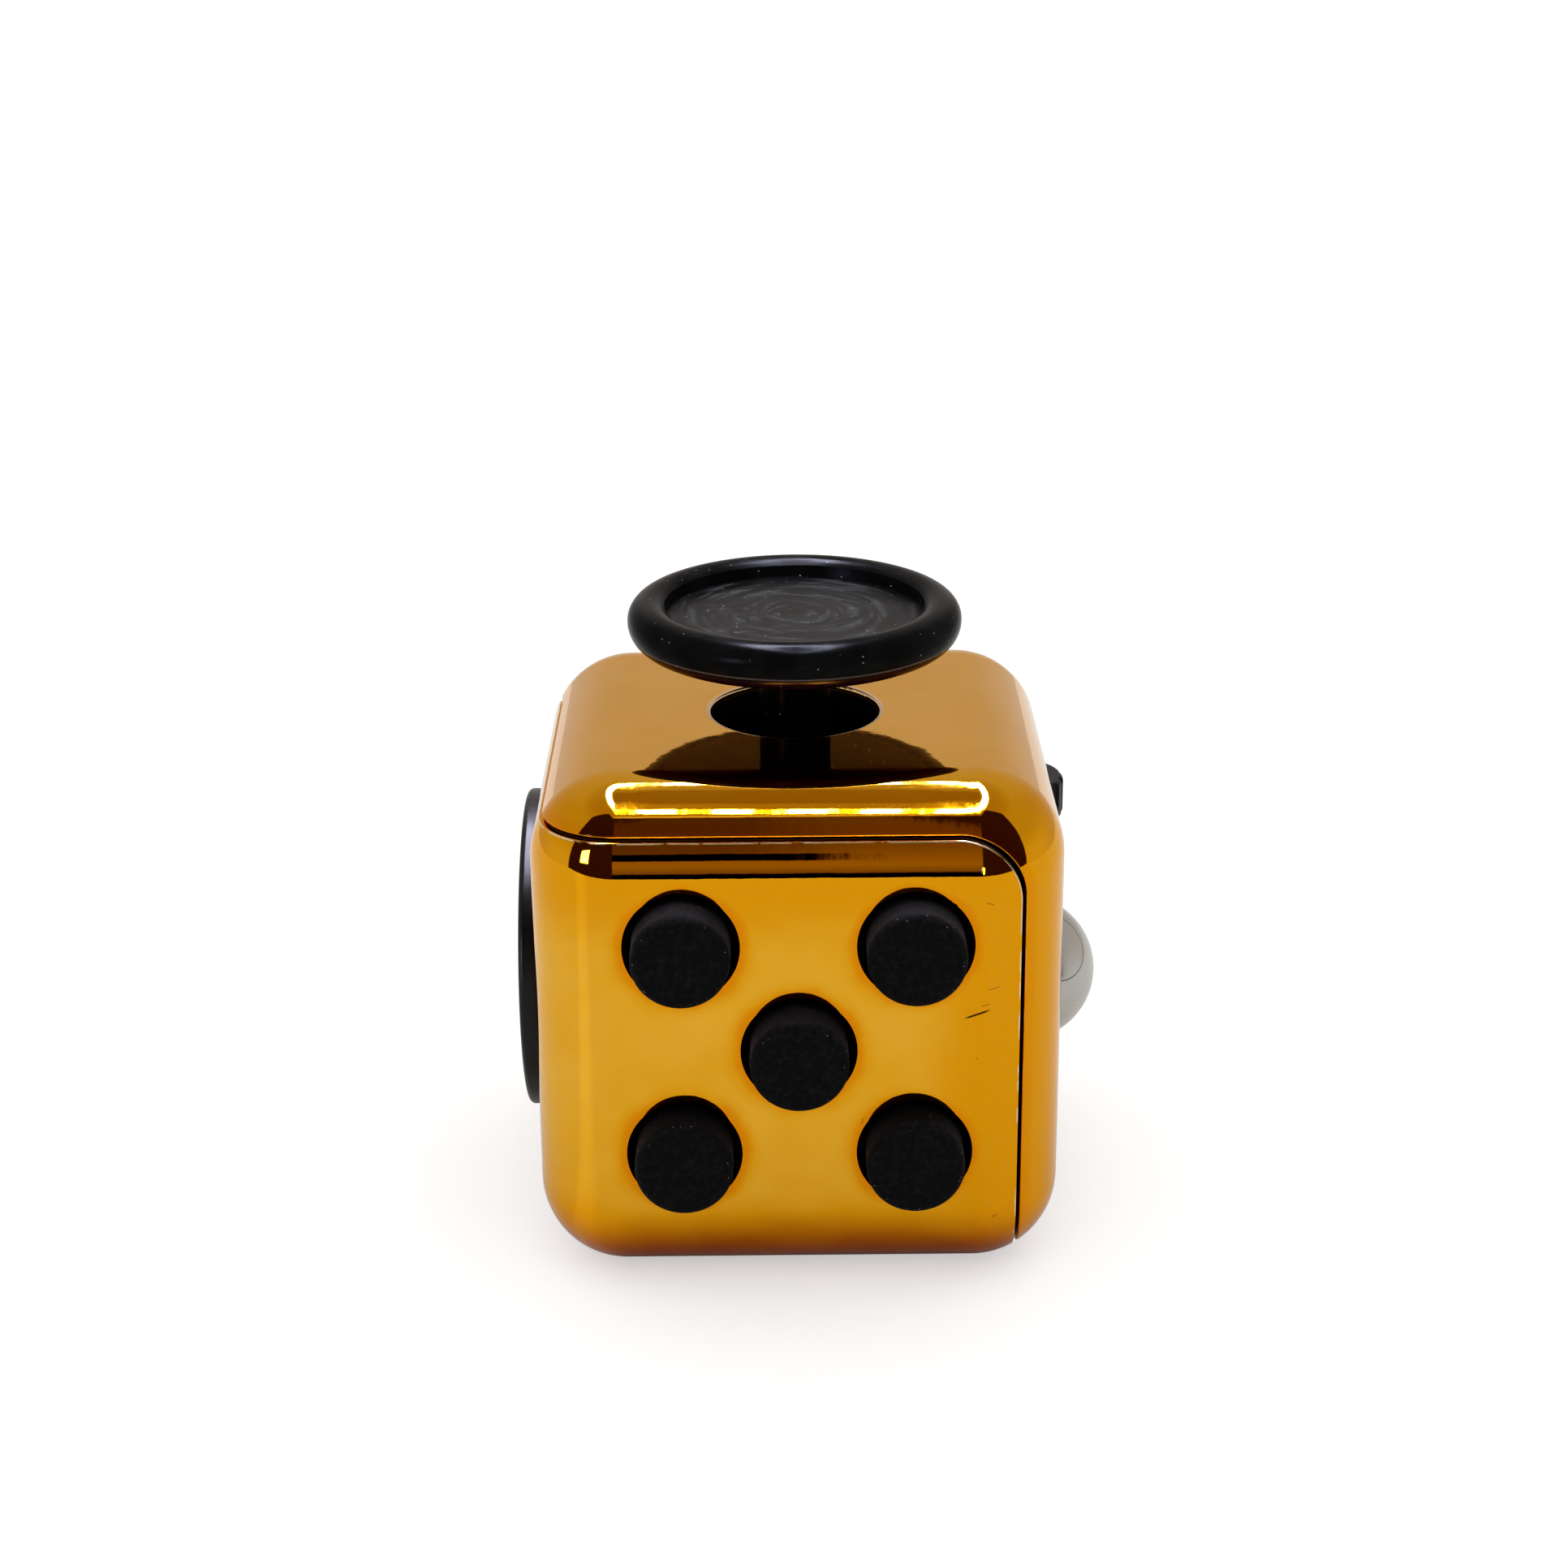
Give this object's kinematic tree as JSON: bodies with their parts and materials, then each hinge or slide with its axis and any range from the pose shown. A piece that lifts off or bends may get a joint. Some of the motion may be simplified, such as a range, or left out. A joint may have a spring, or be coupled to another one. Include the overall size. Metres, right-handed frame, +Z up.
{
  "type": "fidget cube",
  "caption": "Palm-sized fidget cube in two gold shells: push buttons, thumb stick, spin dial, rolling ball, gear wheels, rocker switch and worry pad on its faces.",
  "frame": {"origin": "centre of the bottom face, on the surface the cube stands on", "axes": "+Z up along the thumb stick, -Y out of the button face, -X out of the dial face, +X out of the ball and gear face"},
  "size_m": [0.037, 0.037, 0.0406],
  "materials": {
    "gold_case": "polished gold plating on ABS",
    "black_plastic": "satin moulded",
    "black_rubber": "fine matt texture",
    "inner_plastic": "as moulded",
    "white_nylon": "as moulded",
    "satin_steel": "satin ground",
    "gear_metal": "satin moulded",
    "spring_steel": "drawn wire",
    "screw_steel": "zinc plated",
    "zinc_steel": "turned, zinc plated"
  },
  "bodies": {
    "case": {"front_shell": "gold_case", "rear_shell": "gold_case", "worry_pad": "black_rubber", "case_screws": "screw_steel", "button_backplate": "inner_plastic", "button_plate_screws": "screw_steel", "joystick_retainer": "inner_plastic", "joystick_base": "inner_plastic", "joystick_screws": "screw_steel", "roll_frame": "inner_plastic", "roll_frame_screws": "screw_steel", "gear_axle": "zinc_steel", "gear_detent_springs": "spring_steel", "rocker_pin": "zinc_steel", "rocker_housing": "inner_plastic", "rocker_screws": "screw_steel", "click_dome_top_left": "spring_steel", "rubber_dome_top_right": "black_rubber", "click_dome_centre": "spring_steel", "rubber_dome_bottom_left": "black_rubber", "click_dome_bottom_right": "spring_steel", "joystick_return_spring": "spring_steel", "ball_spring": "spring_steel"},
    "button_top_left": {"button_top_left": "black_rubber"},
    "button_top_right": {"button_top_right": "black_rubber"},
    "button_centre": {"button_centre": "black_rubber"},
    "button_bottom_left": {"button_bottom_left": "black_rubber"},
    "button_bottom_right": {"button_bottom_right": "black_rubber"},
    "dial": {"spin_dial": "black_plastic", "dial_washer": "zinc_steel", "dial_screw": "screw_steel"},
    "stick_ring": {"joystick_socket_ring": "white_nylon"},
    "stick": {"joystick_cap": "black_plastic", "joystick_ball": "white_nylon", "joystick_screw": "screw_steel"},
    "ball_carrier": {"ball_plunger": "zinc_steel"},
    "ball_swivel": {"ball_cup": "white_nylon"},
    "ball": {"roll_ball": "satin_steel"},
    "gear_top": {"gear_top": "gear_metal"},
    "gear_middle": {"gear_middle": "gear_metal"},
    "gear_bottom": {"gear_bottom": "gear_metal"},
    "rocker": {"flip_rocker": "black_plastic", "rocker_spring": "spring_steel"},
    "rocker_plunger": {"rocker_plunger": "zinc_steel"}
  },
  "joints": [
    {"name": "press_top_left", "type": "slide", "parent": "case", "child": "button_top_left", "axis": [0, 1, 0], "range_m": [0, 0.0008], "stiffness_N_per_m": 2500, "springref_m": -0.0003, "deforming": ["click_dome_top_left"]},
    {"name": "press_top_right", "type": "slide", "parent": "case", "child": "button_top_right", "axis": [0, 1, 0], "range_m": [0, 0.0008], "stiffness_N_per_m": 1800, "springref_m": -0.0003, "deforming": ["rubber_dome_top_right"]},
    {"name": "press_centre", "type": "slide", "parent": "case", "child": "button_centre", "axis": [0, 1, 0], "range_m": [0, 0.0008], "stiffness_N_per_m": 2500, "springref_m": -0.0003, "deforming": ["click_dome_centre"]},
    {"name": "press_bottom_left", "type": "slide", "parent": "case", "child": "button_bottom_left", "axis": [0, 1, 0], "range_m": [0, 0.0008], "stiffness_N_per_m": 1800, "springref_m": -0.0003, "deforming": ["rubber_dome_bottom_left"]},
    {"name": "press_bottom_right", "type": "slide", "parent": "case", "child": "button_bottom_right", "axis": [0, 1, 0], "range_m": [0, 0.0008], "stiffness_N_per_m": 2500, "springref_m": -0.0003, "deforming": ["click_dome_bottom_right"]},
    {"name": "spin_dial_turn", "type": "hinge", "parent": "case", "child": "dial", "pos_m": [-0.016, 0, 0.0165], "axis": [-1, 0, 0], "continuous": true},
    {"name": "stick_tilt_front_back", "type": "hinge", "parent": "case", "child": "stick_ring", "pos_m": [0, 0, 0.024], "axis": [1, 0, 0], "range_deg": [-12, 12], "stiffness_Nm_per_rad": 0.06, "deforming": ["joystick_return_spring"]},
    {"name": "stick_tilt_left_right", "type": "hinge", "parent": "stick_ring", "child": "stick", "pos_m": [0, 0, 0.024], "axis": [0, 1, 0], "range_deg": [-12, 12], "stiffness_Nm_per_rad": 0.06},
    {"name": "ball_press", "type": "slide", "parent": "case", "child": "ball_carrier", "axis": [-1, 0, 0], "range_m": [0, 0.0005], "stiffness_N_per_m": 2500, "springref_m": -0.0003, "deforming": ["ball_spring"]},
    {"name": "ball_cup_swivel", "type": "hinge", "parent": "ball_carrier", "child": "ball_swivel", "pos_m": [0.0089, -0.0042, 0.0165], "axis": [1, 0, 0], "continuous": true},
    {"name": "ball_roll", "type": "hinge", "parent": "ball_swivel", "child": "ball", "pos_m": [0.01455, -0.0042, 0.0165], "axis": [0, 0, 1], "continuous": true},
    {"name": "gear_top_turn", "type": "hinge", "parent": "case", "child": "gear_top", "pos_m": [0.0144, 0.0066, 0.0245], "axis": [0, 0, 1], "continuous": true},
    {"name": "gear_middle_turn", "type": "hinge", "parent": "case", "child": "gear_middle", "pos_m": [0.0144, 0.0066, 0.0165], "axis": [0, 0, 1], "continuous": true},
    {"name": "gear_bottom_turn", "type": "hinge", "parent": "case", "child": "gear_bottom", "pos_m": [0.0144, 0.0066, 0.0085], "axis": [0, 0, 1], "continuous": true},
    {"name": "rocker_flip", "type": "hinge", "parent": "case", "child": "rocker", "pos_m": [0, 0.013, 0.0165], "axis": [1, 0, 0], "range_deg": [0, 24]},
    {"name": "rocker_plunger_slide", "type": "slide", "parent": "rocker", "child": "rocker_plunger", "axis": [0, 0.9781, -0.2079], "range_m": [0, 0.0004], "stiffness_N_per_m": 400, "springref_m": -0.0005, "deforming": ["rocker_spring"]}
  ]
}
